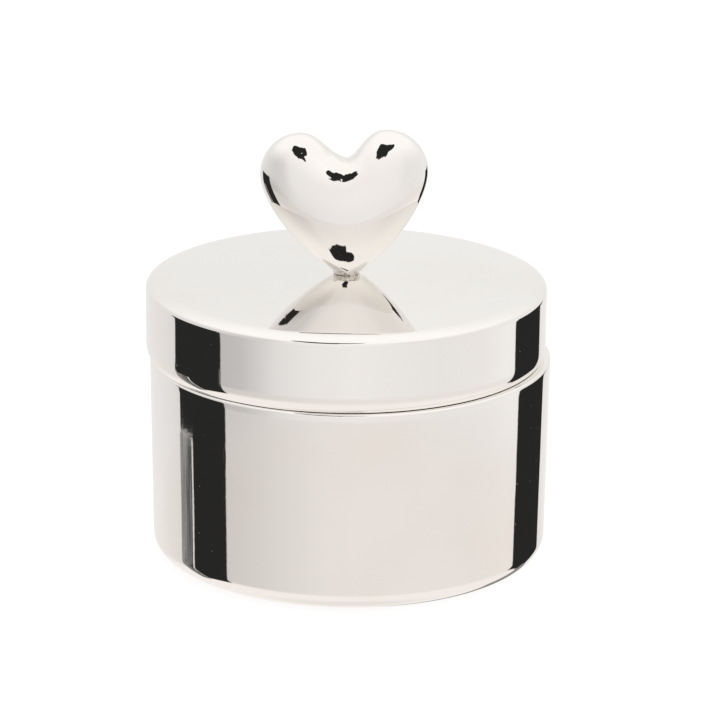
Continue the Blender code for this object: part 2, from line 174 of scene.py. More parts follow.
def band(tree, value, low, high, soft):
    """One between low and high, falling off softly to zero outside."""
    rise = remap(tree, value, low - soft, low + soft)
    fall = remap(tree, value, high - soft, high + soft, 1.0, 0.0)
    return math_node(tree, "MULTIPLY", rise, fall)


def mix_colour(tree, factor, first, second, blend="MIX"):
    """Two colours mixed by a factor."""
    made = add_node(tree, "ShaderNodeMix", data_type="RGBA", blend_type=blend)
    for socket, value in ((made.inputs[0], factor), (made.inputs[6], first), (made.inputs[7], second)):
        if isinstance(value, bpy.types.NodeSocket):
            tree.links.new(value, socket)
        else:
            socket.default_value = value
    return made.outputs[2]


def noise_node(tree, place, scale, detail=2.0, roughness=0.5, stretch=None, turn=None):
    """Fractal noise in the piece's own space, where scale is in features per metre."""
    if stretch or turn:
        mapped = add_node(tree, "ShaderNodeMapping", {"Vector": place})
        mapped.inputs["Scale"].default_value = stretch or (1.0, 1.0, 1.0)
        mapped.inputs["Rotation"].default_value = turn or (0.0, 0.0, 0.0)
        place = mapped.outputs[0]
    made = add_node(tree, "ShaderNodeTexNoise", {"Vector": place, "Scale": scale, "Detail": detail,
                                                 "Roughness": roughness})
    return made.outputs["Fac"]


def bump(tree, height, distance, below=None, strength=1.0):
    """Normal pushed by a height, on top of an earlier bump."""
    values = {"Height": height, "Distance": distance, "Strength": strength}
    if below is not None:
        values["Normal"] = below
    return add_node(tree, "ShaderNodeBump", values).outputs[0]


def new_material(name):
    """An empty Principled material, with its tree, shader and object-space place."""
    material = bpy.data.materials.new(name)
    material.use_nodes = True
    tree = material.node_tree
    place = add_node(tree, "ShaderNodeTexCoord").outputs["Object"]
    return material, tree, tree.nodes["Principled BSDF"], place


# ---------------------------------------------------------------- materials

SILVER_LIGHT = (0.910, 0.892, 0.860, 1.0)
SILVER_WARM = (0.895, 0.866, 0.822, 1.0)


def silver(name, roughness=0.022, cloud=0.015, scratch=1.0):
    """Polished silver plate: faint tarnish, smudges, hairlines, pinholes and a rolled waviness."""
    material, tree, shader, place = new_material(name)
    tarnish = remap(tree, noise_node(tree, place, 55.0, 3.0), 0.45, 0.75)
    tree.links.new(mix_colour(tree, tarnish, SILVER_LIGHT, SILVER_WARM), shader.inputs["Base Color"])
    shader.inputs["Metallic"].default_value = 1.0

    smudge = remap(tree, noise_node(tree, place, 130.0, 4.0, 0.6), 0.40, 0.80)
    level = math_node(tree, "MULTIPLY_ADD", smudge, cloud, roughness)

    hairlines = None
    for turn, scale in (((0.3, 0.2, 0.5), 900.0), ((1.1, 0.7, 2.1), 1200.0), ((0.5, 1.9, 1.2), 1500.0)):
        fibre = noise_node(tree, place, scale, 1.0, 0.5, stretch=(1.0, 0.025, 0.06), turn=turn)
        line = remap(tree, fibre, 0.70, 0.76)
        hairlines = line if hairlines is None else math_node(tree, "MAXIMUM", hairlines, line)
    cells = add_node(tree, "ShaderNodeTexVoronoi", {"Vector": place, "Scale": 900.0})
    chosen = add_node(tree, "ShaderNodeSeparateColor", {0: cells.outputs["Color"]}).outputs[0]
    near = remap(tree, cells.outputs["Distance"], 0.03, 0.08, 1.0, 0.0)
    pits = math_node(tree, "MULTIPLY", near, remap(tree, chosen, 0.60, 0.64))
    rough = math_node(tree, "MULTIPLY_ADD", hairlines, 0.03 * scratch, level)
    rough = math_node(tree, "MULTIPLY_ADD", pits, 0.30, rough)
    tree.links.new(rough, shader.inputs["Roughness"])

    normal = bump(tree, noise_node(tree, place, 900.0, 3.0), 0.0000012)
    normal = bump(tree, hairlines, 0.000001 * scratch, normal)
    normal = bump(tree, pits, 0.000008, normal)
    tree.links.new(normal, shader.inputs["Normal"])
    return material


def solder_silver():
    """The knob's collar: cast and filed, duller and pitted."""
    material, tree, shader, place = new_material("collar_silver_look")
    mottle = noise_node(tree, place, 1500.0, 4.0, 0.65)
    colour = mix_colour(tree, remap(tree, mottle, 0.35, 0.70), (0.55, 0.50, 0.44, 1), (0.90, 0.87, 0.83, 1))
    tree.links.new(colour, shader.inputs["Base Color"])
    shader.inputs["Metallic"].default_value = 1.0
    tree.links.new(remap(tree, mottle, 0.3, 0.7, 0.34, 0.14), shader.inputs["Roughness"])
    tree.links.new(bump(tree, mottle, 0.00012), shader.inputs["Normal"])
    return material


def steel(name):
    """Brushed steel of the hidden screw and washer, with turning marks."""
    material, tree, shader, place = new_material(name)
    grain = noise_node(tree, place, 2500.0, 3.0, 0.6, stretch=(1.0, 1.0, 0.1))
    stain = remap(tree, noise_node(tree, place, 300.0, 3.0), 0.35, 0.75)
    colour = mix_colour(tree, stain, (0.62, 0.61, 0.60, 1), (0.48, 0.46, 0.43, 1))
    tree.links.new(colour, shader.inputs["Base Color"])
    shader.inputs["Metallic"].default_value = 1.0
    tree.links.new(remap(tree, grain, 0.3, 0.7, 0.22, 0.42), shader.inputs["Roughness"])
    tree.links.new(bump(tree, grain, 0.00001), shader.inputs["Normal"])
    return material


def pile_fabric(name, dark, light, sheen, pile_scale):
    """Short upright pile: it shades by the lie of the nap and has a soft sheen at a slant."""
    material, tree, shader, place = new_material(name)
    nap = noise_node(tree, place, 160.0, 3.0, 0.6)
    tuft = noise_node(tree, place, pile_scale, 2.0, 0.7)
    tone = math_node(tree, "MULTIPLY_ADD", nap, 0.65, math_node(tree, "MULTIPLY", tuft, 0.35))
    colour = mix_colour(tree, remap(tree, tone, 0.35, 0.65), (*dark, 1.0), (*light, 1.0))
    tree.links.new(colour, shader.inputs["Base Color"])
    tree.links.new(remap(tree, tuft, 0.3, 0.7, 0.98, 0.85), shader.inputs["Roughness"])
    shader.inputs["Specular IOR Level"].default_value = 0.15
    shader.inputs["Sheen Weight"].default_value = sheen
    shader.inputs["Sheen Roughness"].default_value = 0.35
    shader.inputs["Sheen Tint"].default_value = (0.45, 0.55, 0.95, 1.0)
    normal = bump(tree, nap, 0.0003)
    tree.links.new(bump(tree, tuft, 0.00012, normal), shader.inputs["Normal"])
    return material


def card_board(name):
    """Grey board with paper fibres and flecks."""
    material, tree, shader, place = new_material(name)
    fibre = noise_node(tree, place, 1400.0, 4.0, 0.7, stretch=(1.0, 0.3, 1.0), turn=(0.0, 0.0, 0.6))
    fleck = remap(tree, noise_node(tree, place, 3500.0, 1.0), 0.66, 0.70)
    paper = mix_colour(tree, fibre, (0.40, 0.37, 0.33, 1), (0.52, 0.49, 0.44, 1))
    tree.links.new(mix_colour(tree, fleck, paper, (0.22, 0.19, 0.16, 1)), shader.inputs["Base Color"])
    tree.links.new(remap(tree, fibre, 0.3, 0.7, 0.95, 0.82), shader.inputs["Roughness"])
    tree.links.new(bump(tree, fibre, 0.00008), shader.inputs["Normal"])
    return material


# ---------------------------------------------------------------- shapes

def arc(centre_r, centre_z, radius, start, end, count):
    """Points (r, z) along an arc in the turning plane, angles in degrees from +R towards +Z."""
    points = []
    for index in range(count + 1):
        angle = radians(start + (end - start) * index / count)
        points.append((centre_r + radius * cos(angle), centre_z + radius * sin(angle)))
    return points


def bezier(start, leave, arrive, end, count):
    """Points along a cubic curve, its end left out so that curves can be chained."""
    points = []
    for index in range(count):
        t = index / count
        weights = ((1 - t) ** 3, 3 * (1 - t) ** 2 * t, 3 * (1 - t) * t ** 2, t ** 3)
        corners = (start, leave, arrive, end)
        points.append([sum(w * c[axis] for w, c in zip(weights, corners)) for axis in (0, 1)])
    return points


def with_stations(section, longest=STATION):
    """The section with points added along its long straight runs, so that shading stays true."""
    points = [section[0]]
    for (r0, z0), (r1, z1) in zip(section, section[1:]):
        pieces = max(1, int(np.hypot(r1 - r0, z1 - z0) / longest) + 1)
        for index in range(1, pieces + 1):
            share = index / pieces
            points.append((r0 + (r1 - r0) * share, z0 + (z1 - z0) * share))
    return points


def add_piece(name, mesh, material, body, replaced):
    """Link a mesh as a finished piece that rides on a body and stands for CAD nodes."""
    mesh.materials.append(material)
    mesh.shade_smooth()
    mesh.set_sharp_from_angle(angle=SHARP)
    piece = bpy.data.objects.new(name, mesh)
    bpy.context.scene.collection.objects.link(piece)
    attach(piece, body)
    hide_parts(*replaced)
    return piece


def turned_mesh(name, section, steps=STEPS, centre_x=0.0, shape_by=None):
    """Mesh of a half section spun about a vertical axis, its points then moved by a function.

    A section that starts on the axis is left open there, and any other one is closed on itself.
    """
    shape = bmesh.new()
    points = [shape.verts.new((r, 0.0, z)) for r, z in section]
    edges = [shape.edges.new(pair) for pair in zip(points, points[1:])]
    if section[0][0] > 0.0:
        edges.append(shape.edges.new((points[-1], points[0])))
    bmesh.ops.spin(shape, geom=points + edges, cent=(0, 0, 0), axis=(0, 0, 1), dvec=(0, 0, 0),
                   angle=2 * pi, steps=steps, use_merge=True, use_duplicate=False)
    bmesh.ops.remove_doubles(shape, verts=shape.verts, dist=MERGE)
    bmesh.ops.recalc_face_normals(shape, faces=shape.faces)
    if shape_by:
        for vertex in shape.verts:
            vertex.co = shape_by(vertex.co)
    bmesh.ops.translate(shape, verts=shape.verts, vec=(centre_x, 0.0, 0.0))
    mesh = bpy.data.meshes.new(name)
    shape.to_mesh(mesh)
    shape.free()
    return mesh


def rolled_waviness(depth, span, seed):
    """A function that moves a point in and out by the slow unevenness of drawn and polished metal."""
    shift = Vector((seed, 2.0 * seed, 3.0 * seed))

    def move(point):
        """The point pushed along its radius."""
        away = Vector((point.x, point.y, 0.0))
        radius = away.length
        if radius < MERGE:
            return point
        amount = noise.noise(point / span + shift) * depth
        level = min(1.0, radius / (5 * MM))
        return point + away / radius * amount * level

    return move


# ---------------------------------------------------------------- base

FOOT = BODY_LOW.z
RIM_TOP = BODY_HIGH.z + SEAM_CLOSING
FLOOR_TOP = FOOT + RECESS_RISE + SHEET


def body_shell():
    """Drawn cup: tapered wall, rounded foot with a recess under it, and an inturned rim."""
    corner_r = BODY_RADIUS - BODY_TAPER - FOOT_CORNER_RADIUS
    corner_z = FOOT + FOOT_CORNER_RADIUS
    rim_r = BODY_RADIUS - RIM_RADIUS
    rim_z = RIM_TOP - RIM_RADIUS
    recess = FOOT + RECESS_RISE
    section = [(0.0, FLOOR_TOP), (RECESS_RADIUS + SHEET / 2, FLOOR_TOP),
               (FOOT_RING_INNER + SHEET / 2, FOOT + SHEET)]
    section += arc(corner_r, corner_z, FOOT_CORNER_RADIUS - SHEET, -90, 0, 10)
    section += [(BODY_RADIUS - SHEET, RIM_TOP - SHEET)]
    lip_r = BODY_LIP_INNER + BODY_LIP_ROUNDING
    section += arc(lip_r, RIM_TOP - SHEET + BODY_LIP_ROUNDING, BODY_LIP_ROUNDING, 270, 180, 5)
    section += arc(lip_r, RIM_TOP - BODY_LIP_ROUNDING, BODY_LIP_ROUNDING, 180, 90, 5)
    section += arc(rim_r, rim_z, RIM_RADIUS, 90, 0, 14)
    section += arc(corner_r, corner_z, FOOT_CORNER_RADIUS, 0, -90, 24)
    section += arc(FOOT_RING_INNER, FOOT + FOOT_RING_ROUNDING, FOOT_RING_ROUNDING, 270, 210, 5)
    section += [(RECESS_RADIUS, recess), (0.0, recess)]
    mesh = turned_mesh("body_shell_metal", with_stations(section),
                       shape_by=rolled_waviness(0.010 * MM, 11.0 * MM, 3.0))
    return add_piece("body_shell_metal", mesh, silver("body_silver"), "base", ["body_shell"])


# ---------------------------------------------------------------- lid

LID_EDGE = LID_LOW.z - SEAM_CLOSING


def dome_height(radius, thickness=0.0):
    """Height of the lid's shallow dome, or of its underside, at a radius."""
    return LID_TOP - LID_DOME_CURVE * radius ** 2 - thickness


def lid_outside():
    """Section of the lid's outer side, from where its dome rolls off to its lower edge."""
    shoulder = dome_height(LID_DOME_RADIUS)
    crest = (LID_RADIUS - LID_CREST_INSET, shoulder - LID_CREST_DROP)
    start_r = crest[0] - LID_ROLL_OFF
    start = (start_r, dome_height(start_r))
    wall_top = (LID_RADIUS, crest[1] - LID_CREST_FALL)
    tuck = (LID_RADIUS, LID_EDGE + LID_TUCK_HEIGHT)
    end = (LID_RADIUS - LID_TUCK_DEPTH, LID_EDGE + LID_EDGE_ROUNDING)
    slope = tan(LID_DOME_SLOPE)
    points = bezier(start, (start_r + 1.1 * MM, start[1] - 1.1 * MM * slope),
                    (crest[0] - 0.35 * MM, crest[1] + 0.22 * MM), crest, 22)
    points += bezier(crest, (crest[0] + 0.15 * MM, crest[1] - 0.14 * MM),
                     (wall_top[0], wall_top[1] + 0.4 * MM), wall_top, 22)
    points += [wall_top]
    points += bezier(tuck, (tuck[0], tuck[1] - 1.4 * MM), (end[0] + 0.4 * MM, end[1] + 0.75 * MM), end, 30)
    return points + arc(end[0] - LID_EDGE_ROUNDING, end[1], LID_EDGE_ROUNDING, 0, -90, 8)


def lid_shell():
    """Drawn lid: dome with a screw hole, crisp upper edge, wall tucked in below, inturned lip."""
    stations = np.linspace(SCREW_HOLE_RADIUS, LID_RADIUS - LID_CREST_INSET - LID_ROLL_OFF, 34)[:-1]
    wall_inner = LID_RADIUS - SHEET
    corner = LID_INNER_CORNER
    lip_r = LID_LIP_INNER + LID_LIP_ROUNDING
    shoulder = dome_height(LID_DOME_RADIUS)
    section = [(r, dome_height(r)) for r in stations] + lid_outside()
    section += arc(lip_r, LID_EDGE + LID_LIP_ROUNDING, LID_LIP_ROUNDING, 270, 180, 5)
    section += arc(lip_r, LID_EDGE + SHEET - LID_LIP_ROUNDING, LID_LIP_ROUNDING, 180, 90, 5)
    section += [(wall_inner - LID_TUCK_DEPTH, LID_EDGE + SHEET), (wall_inner, LID_EDGE + LID_TUCK_HEIGHT)]
    section += arc(wall_inner - corner, shoulder - SHEET - corner, corner, 0, 90, 10)
    section += [(r, dome_height(r, SHEET)) for r in reversed(stations)]
    mesh = turned_mesh("lid_shell_metal", with_stations(section), centre_x=LID_CENTRE,
                       shape_by=rolled_waviness(0.008 * MM, 12.0 * MM, 8.0))
    return add_piece("lid_shell_metal", mesh, silver("lid_silver"), "lid", ["lid_shell"])


# ---------------------------------------------------------------- heart

def half_outline(side, side_count, lobe_count, cleft_count):
    """Outline (x, z) from the tip over one lobe to the cleft, on the +X or the -X side."""
    tip = (0.0, -HEART_TIP_DROP)
    wide = (side * HEART_HALF_WIDTH, HEART_WIDEST_HEIGHT)
    lobe = (side * HEART_LOBE_OFFSET, HEART_LOBE_HEIGHT)
    cleft = (0.0, HEART_CLEFT_HEIGHT)
    from_tip = (side * TIP_HANDLE[0], tip[1] + TIP_HANDLE[1])
    from_lobe = (lobe[0] + side * LOBE_OUTER_HANDLE, lobe[1])
    into_cleft = (side * CLEFT_HANDLE[side] * cos(HEART_CLEFT_SLOPE),
                  cleft[1] + side * CLEFT_HANDLE[side] * sin(HEART_CLEFT_SLOPE))
    points = bezier(tip, from_tip, (wide[0], wide[1] - SIDE_HANDLE), wide, side_count)
    points += bezier(wide, (wide[0], wide[1] + SHOULDER_HANDLE), from_lobe, lobe, lobe_count)
    points += bezier(lobe, (lobe[0] - side * LOBE_INNER_HANDLE[side], lobe[1]), into_cleft, cleft,
                     cleft_count)
    points.append(list(cleft))
    return points


def heart_outline(side_count, lobe_count, cleft_count):
    """Closed outline (x, z) of the heart: up its +X half, and back down its -X half."""
    right = half_outline(1, side_count, lobe_count, cleft_count)
    left = half_outline(-1, side_count, lobe_count, cleft_count)
    return np.array(right + left[-2:0:-1])


def swell_terms(points):
    """Harmonic functions whose mix gives the heart's swelling: one row per point."""
    plane = (points[:, 1] - HEART_MIDDLE[1] + 1j * points[:, 0]) / HEART_HALF_WIDTH
    columns = [np.real(plane ** power) for power in range(HARMONIC_ORDER + 1)]
    columns += [np.imag(plane ** power) for power in range(1, HARMONIC_ORDER + 1)]
    for rise in CLEFT_SOURCES:
        height = points[:, 1] - HEART_CLEFT_HEIGHT - rise
        columns.append(np.log(np.hypot(points[:, 0], height) / HEART_HALF_WIDTH))
    return np.array(columns).T


def bowl(points):
    """The quarter of the squared distance from the heart's middle."""
    return ((points - HEART_MIDDLE) ** 2).sum(axis=1) / 4


def heart_rings(outline, ring_count):
    """Rings of points with their swelling, from the outline in to the middle.

    The heart is swollen like a membrane blown up over its outline: the swelling follows
    Poisson's equation, solved here by fitting harmonic terms on the outline.
    """
    fine = heart_outline(*HEART_FIT_COUNTS)
    mix = np.linalg.lstsq(swell_terms(fine), bowl(fine), rcond=1e-10)[0]
    excess = swell_terms(outline) @ mix - bowl(outline)
    rings = []
    for index in range(ring_count):
        shrink = cos(pi / 2 * index / ring_count)
        points = HEART_MIDDLE + shrink * (outline - HEART_MIDDLE)
        swell = swell_terms(points) @ mix - bowl(points) - excess * shrink ** 4
        rings.append((points, np.maximum(swell, 0.0)))
    middle = HEART_MIDDLE[None, :]
    peak = float((swell_terms(middle) @ mix)[0])
    return rings, peak


def heart_surface():
    """Closed mesh of the swollen heart about the plane y = 0."""
    outline = heart_outline(*HEART_COUNTS)
    rings, peak = heart_rings(outline, HEART_RINGS)
    scale = HEART_HALF_THICKNESS / max(peak, max(float(s.max()) for _, s in rings)) ** HEART_SWELL_POWER
    shape = bmesh.new()
    edge = [shape.verts.new((x, 0.0, z)) for x, z in outline]
    for side in (-1.0, 1.0):
        previous = edge
        for points, swell in rings[1:]:
            current = [shape.verts.new((x, side * scale * s ** HEART_SWELL_POWER, z))
                       for (x, z), s in zip(points, swell)]
            count = len(current)
            for index in range(count):
                after = (index + 1) % count
                shape.faces.new((previous[index], previous[after], current[after], current[index]))
            previous = current
        pole = shape.verts.new((0.0, side * scale * peak ** HEART_SWELL_POWER, HEART_MIDDLE[1]))
        for index in range(len(previous)):
            shape.faces.new((previous[index], previous[(index + 1) % len(previous)], pole))
    bmesh.ops.recalc_face_normals(shape, faces=shape.faces)
    return shape


HEART_FOOT = HEART_SEAT - 0.15 * MM      # the heart sits down into its collar


def heart_knob():
    """Puffy heart with its tip cut flat in the collar."""
    shape = heart_surface()
    lean = Matrix.Rotation(-HEART_LEAN, 4, "Y") @ Matrix.Rotation(-HEART_LEAN_BACK, 4, "X")
    tilt = Matrix.Rotation(HEART_TURN, 4, "Z") @ lean
    shift = Matrix.Translation((LID_CENTRE + HEART_SHIFT, 0.0, LID_TOP + HEART_DATUM_RISE))
    bmesh.ops.transform(shape, matrix=shift @ tilt, verts=shape.verts)
    everything = shape.verts[:] + shape.edges[:] + shape.faces[:]
    cut = bmesh.ops.bisect_plane(shape, geom=everything, dist=MERGE, plane_co=(0, 0, HEART_FOOT),
                                 plane_no=(0, 0, 1), clear_inner=True)
    open_edges = [item for item in cut["geom_cut"] if isinstance(item, bmesh.types.BMEdge)]
    bmesh.ops.contextual_create(shape, geom=open_edges)
    bmesh.ops.recalc_face_normals(shape, faces=shape.faces)
    mesh = bpy.data.meshes.new("heart_knob_metal")
    shape.to_mesh(mesh)
    shape.free()
    return add_piece("heart_knob_metal", mesh, silver("heart_silver", 0.02), "lid",
                     ["heart_knob"])


def knob_collar():
    """Rough little ring that joins the heart's tip to the lid."""
    low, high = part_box("knob_collar")
    radius = (high.x - low.x) / 2
    bottom = dome_height(radius)
    top = HEART_SEAT + 0.05 * MM
    middle = (bottom + top) / 2
    half = (top - bottom) / 2
    section = [(radius - 0.25 * MM + half * 0.5 * cos(a), middle + half * sin(a))
               for a in np.linspace(pi / 2, -pi / 2, 11)]
    section += [(SCREW_HOLE_RADIUS, bottom), (SCREW_HOLE_RADIUS, top)]

    def rough(point):
        """The point moved by coarse and fine lumps, except at the screw's hole."""
        away = Vector((point.x, point.y, 0.0))
        if away.length < SCREW_HOLE_RADIUS * 1.1:
            return point
        lump = noise.noise(point * 900.0) * 0.16 * MM + noise.noise(point * 2600.0) * 0.06 * MM
        return point + away.normalized() * lump

    mesh = turned_mesh("knob_collar_metal", section, SMALL_STEPS, LID_CENTRE, rough)
    return add_piece("knob_collar_metal", mesh, solder_silver(), "lid", ["knob_collar"])


# ---------------------------------------------------------------- neck and linings

VELVET_DARK = (0.008, 0.013, 0.042)
VELVET_LIGHT = (0.030, 0.046, 0.120)
VELVET_SHEEN = 0.9
VELVET_PILE = 2600.0             # tufts per metre
FELT_DARK = (0.008, 0.011, 0.022)
FELT_LIGHT = (0.022, 0.028, 0.050)


def neck_ring():
    """Ring that centres the lid, with its top edge eased and a flange under the body's rim."""
    low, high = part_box("neck_ring")
    flange_radius = high.x
    outer = BODY_LIP_INNER - NECK_GAP
    inner = outer - NECK_WALL
    lead = NECK_WALL / 2
    flange_top = low.z + SHEET
    section = arc(outer - lead, high.z - lead, lead, 90, 0, 10)
    section += [(outer, flange_top), (flange_radius, flange_top), (flange_radius, low.z), (inner, low.z)]
    section += arc(inner + NECK_INNER_ROUNDING, high.z - NECK_INNER_ROUNDING, NECK_INNER_ROUNDING, 180, 90, 6)
    mesh = turned_mesh("neck_ring_metal", with_stations(section),
                       shape_by=rolled_waviness(0.006 * MM, 10.0 * MM, 13.0))
    return add_piece("neck_ring_metal", mesh, silver("neck_silver", 0.05, 0.04, 2.0), "neck",
                     ["neck_ring"])


def wall_lining():
    """Velvet sleeve inside the wall, rolled over its card at the top, with a butt seam at the back."""
    low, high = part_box("wall_lining")
    outer = high.x
    edge = LINING_WALL / 2
    section = arc(outer - edge, high.z - edge, edge, 180, 0, 12)
    section += arc(outer - edge, low.z + edge, edge, 0, -180, 12)

    def soft(point):
        """The point moved by the seam, ripples and pile, on the inner side only."""
        away = Vector((point.x, point.y, 0.0))
        angle = np.arctan2(point.x, point.y)          # zero at the back
        seam = -LINING_SEAM_DEPTH * np.exp(-(angle * away.length / LINING_SEAM_WIDTH) ** 2)
        ripple = noise.noise(Vector((point.x, point.y, point.z * 0.35)) / (7 * MM)) * 0.14 * MM
        fluff = noise.noise(point * 1300.0) * 0.04 * MM
        inside = away.length < outer - edge
        return point - away.normalized() * ((seam + ripple + fluff) if inside else 0.0)

    mesh = turned_mesh("wall_lining_velvet", with_stations(section), shape_by=soft)
    velvet = pile_fabric("wall_velvet_look", VELVET_DARK, VELVET_LIGHT, VELVET_SHEEN, VELVET_PILE)
    return add_piece("wall_lining_velvet", mesh, velvet, "base", ["wall_lining"])


def crowned_pad(name, node, body, up, centre_x, seed):
    """Velvet-covered pad: crowned on its show side, puckered where the velvet is pulled round its edge."""
    low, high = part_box(node)
    radius = (high.x - low.x) / 2
    thickness = high.z - low.z
    back = low.z if up > 0 else high.z
    roll = PAD_ROLL
    crown = PAD_CROWN
    face_r = np.linspace(0.0, radius - roll, 44)
    flat = thickness - crown
    section = [(r, flat + crown * (1 - (r / radius) ** 2) ** 0.9) for r in face_r[:-1]]
    rim_top = flat + crown * (1 - ((radius - roll) / radius) ** 2) ** 0.9
    section += arc(radius - roll, rim_top - roll, roll, 90, -35, 16)
    section += [(radius - roll, 0.0), (0.0, 0.0)]

    def soft(point):
        """The point moved by folds, dents and pile, then set on the pad's back."""
        spread = Vector((point.x, point.y, 0.0))
        ratio = spread.length / radius
        rise = point.z / thickness
        angle = np.arctan2(point.y, point.x)
        fold = sin(46 * angle + 2.0 * sin(5 * angle + seed)) * 0.5 + 0.5 * sin(31 * angle + seed)
        pull = max(0.0, (ratio - 0.80) / 0.20) ** 2 * 0.10 * MM * fold * rise
        dent = noise.noise(point / (9 * MM) + Vector((seed, seed, 0))) * 0.22 * MM * rise * (1.1 - ratio)
        fluff = noise.noise(point * 1300.0) * 0.035 * MM * rise
        moved = point.copy()
        moved.z = max(0.0, point.z + pull + dent + fluff)
        if spread.length > MERGE:
            moved -= spread.normalized() * max(0.0, ratio - 0.97) * 2 * MM * (0.5 + 0.5 * fold)
        moved.z = back + up * moved.z
        return moved

    mesh = turned_mesh(name, with_stations(section), PAD_STEPS, centre_x, soft)
    if up < 0:
        mesh.flip_normals()
    material = pile_fabric(name + "_look", VELVET_DARK, VELVET_LIGHT, VELVET_SHEEN, VELVET_PILE)
    pad = add_piece(name, mesh, material, body, [node])
    return pad


def base_felt():
    """Felt disc in the foot, its cut edge a little uneven and its upper edge eased."""
    low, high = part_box("base_felt")
    edge = FELT_ROUNDING
    section = [(0.0, high.z)] + arc(high.x - edge, high.z - edge, edge, 90, 0, 5)
    section += arc(high.x - edge, low.z + edge, edge, 0, -90, 5) + [(0.0, low.z)]

    def fray(point):
        """The point pulled in a little where it is on the cut edge."""
        away = Vector((point.x, point.y, 0.0))
        if away.length < high.x * 0.9:
            return point
        return point - away.normalized() * abs(noise.noise(point * 1500.0)) * 0.12 * MM

    mesh = turned_mesh("base_felt_disc", with_stations(section), PAD_STEPS, shape_by=fray)
    felt = pile_fabric("felt_look", FELT_DARK, FELT_LIGHT, 0.4, 3400.0)
    return add_piece("base_felt_disc", mesh, felt, "base", ["base_felt"])


def dress_hidden_nodes():
    """Materials of the pieces that keep their frame mesh: the boards, the washer and the screw."""
    for node, material in (("floor_board", card_board("floor_card_look")),
                           ("lid_board", card_board("lid_card_look")),
                           ("knob_washer", steel("washer_look")),
                           ("knob_screw", steel("screw_look"))):
        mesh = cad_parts[node].data
        mesh.materials.clear()
        mesh.materials.append(material)


# ---------------------------------------------------------------- studio

FLOOR_HALF = 4.0
FLOOR_GREY = (0.30, 0.30, 0.30, 1.0)
FLOOR_GLOW = 0.80                # enough to stay white under the faint contact shadow

# Light that comes from each side, by azimuth: 0 is the camera's side, 90 is +X. One plan for the
# height that the body's wall mirrors, one for the lid's wall, and one for above the horizon.
LIGHT_AT_BODY = {-180: 0.89, -144: 0.89, -125: 0.82, -76: 0.68, -55: 0.73, -40: 0.78, -12: 0.86,
                 5: 0.875, 75: 0.875, 105: 0.90, 150: 0.85, 180: 0.93}
LIGHT_AT_LID = {-180: 0.88, -144: 0.86, -125: 0.82, -76: 0.55, -62: 0.59, -50: 0.70, -40: 0.81, -19: 0.89,
                5: 0.925, 55: 0.875, 85: 0.90, 105: 0.95, 150: 0.86, 180: 0.93}
LIGHT_ABOVE = {-180: 0.90, -150: 0.89, -100: 0.80, -60: 0.70, -45: 0.72, -33: 0.88, -5: 0.96,
               20: 0.94, 35: 0.875, 60: 0.88, 110: 0.92, 155: 0.90, 180: 0.92}
LIGHT_BELOW = 0.98               # just below the walls' level
LIGHT_UNDER = 0.88               # and straight down
LIGHT_OVERHEAD = 1.08
# Elevations over which one light gives way to the next
LID_LEVEL = (-20.7, -18.6)
ABOVE_LEVEL = (-16.0, 2.0)
BELOW_LEVEL = (-36.0, -24.0)
UNDER_LEVEL = (-80.0, -58.0)
OVERHEAD_LEVEL = (14.0, 55.0)
EDGE_SOFTNESS = 0.8              # half width of the soft edge of a flag or of the opening
FLAG = 0.022                     # what the black flags give back
# Each flag: azimuths of its sides, elevations of its foot at each side, elevation of its top
LEFT_FLAG = ((-115.0, -76.0), (-42.0, -32.0), -5.0)
RIGHT_FLAG = ((113.5, 148.0), (-29.0, -38.0), -8.0)
FOOT_CARD = 0.27                 # grey card low on the right
FOOT_CARD_SIDES = (139.0, 176.0)
FOOT_CARD_HEIGHTS = (-47.0, -31.0)
PANEL_TOP = -19.7                # elevations of a grey panel in the left flag's lower part
PANEL_BEND = 0.4                 # over which its right edge bends over to its top
PANEL_FOOT = -41.0
PANEL_SIDES = (-115.5, -103.0)   # and its azimuths
GAP_LOW = 35.5                   # the dark opening above the camera, in degrees of elevation
GAP_HIGH = 60.0
GAP_LEFT = {35: -18, 38: -22, 42: -30, 46: -36, 50: -40, 60: -42}
GAP_RIGHT = {35: -9, 38: -5, 43: -4, 46: 2, 50: 9, 60: 16}
GAP_SWING = 1.6                  # raggedness of its edges
TINT_BASE = (1.0, 0.976, 0.977, 1.0)
TINT_LOW = (1.0, 0.954, 0.935, 1.0)      # below the lid's wall
TINT_BEHIND = (1.0, 0.993, 0.984, 1.0)


def around(tree, azimuth, plan):
    """Brightness by azimuth, from a plan of a few stops."""
    share = remap(tree, azimuth, -180.0, 180.0, smooth=False)
    ramp = add_node(tree, "ShaderNodeValToRGB", {0: share})
    stops = ramp.color_ramp.elements
    placed = sorted(plan.items())
    for angle, light in placed[1:-1]:
        stops.new((angle + 180) / 360).color = (light, light, light, 1.0)
    stops[0].color = (placed[0][1],) * 3 + (1.0,)
    stops[-1].color = (placed[-1][1],) * 3 + (1.0,)
    return ramp.outputs[0]


def edge_by_elevation(tree, elevation, plan):
    """Azimuth of an edge at each elevation, from a plan of a few stops."""
    placed = sorted(plan.items())
    edge = placed[0][1]
    for (low, before), (high, after) in zip(placed, placed[1:]):
        step = remap(tree, elevation, low, high, 0.0, after - before, smooth=False)
        edge = math_node(tree, "ADD", step, edge)
    return edge


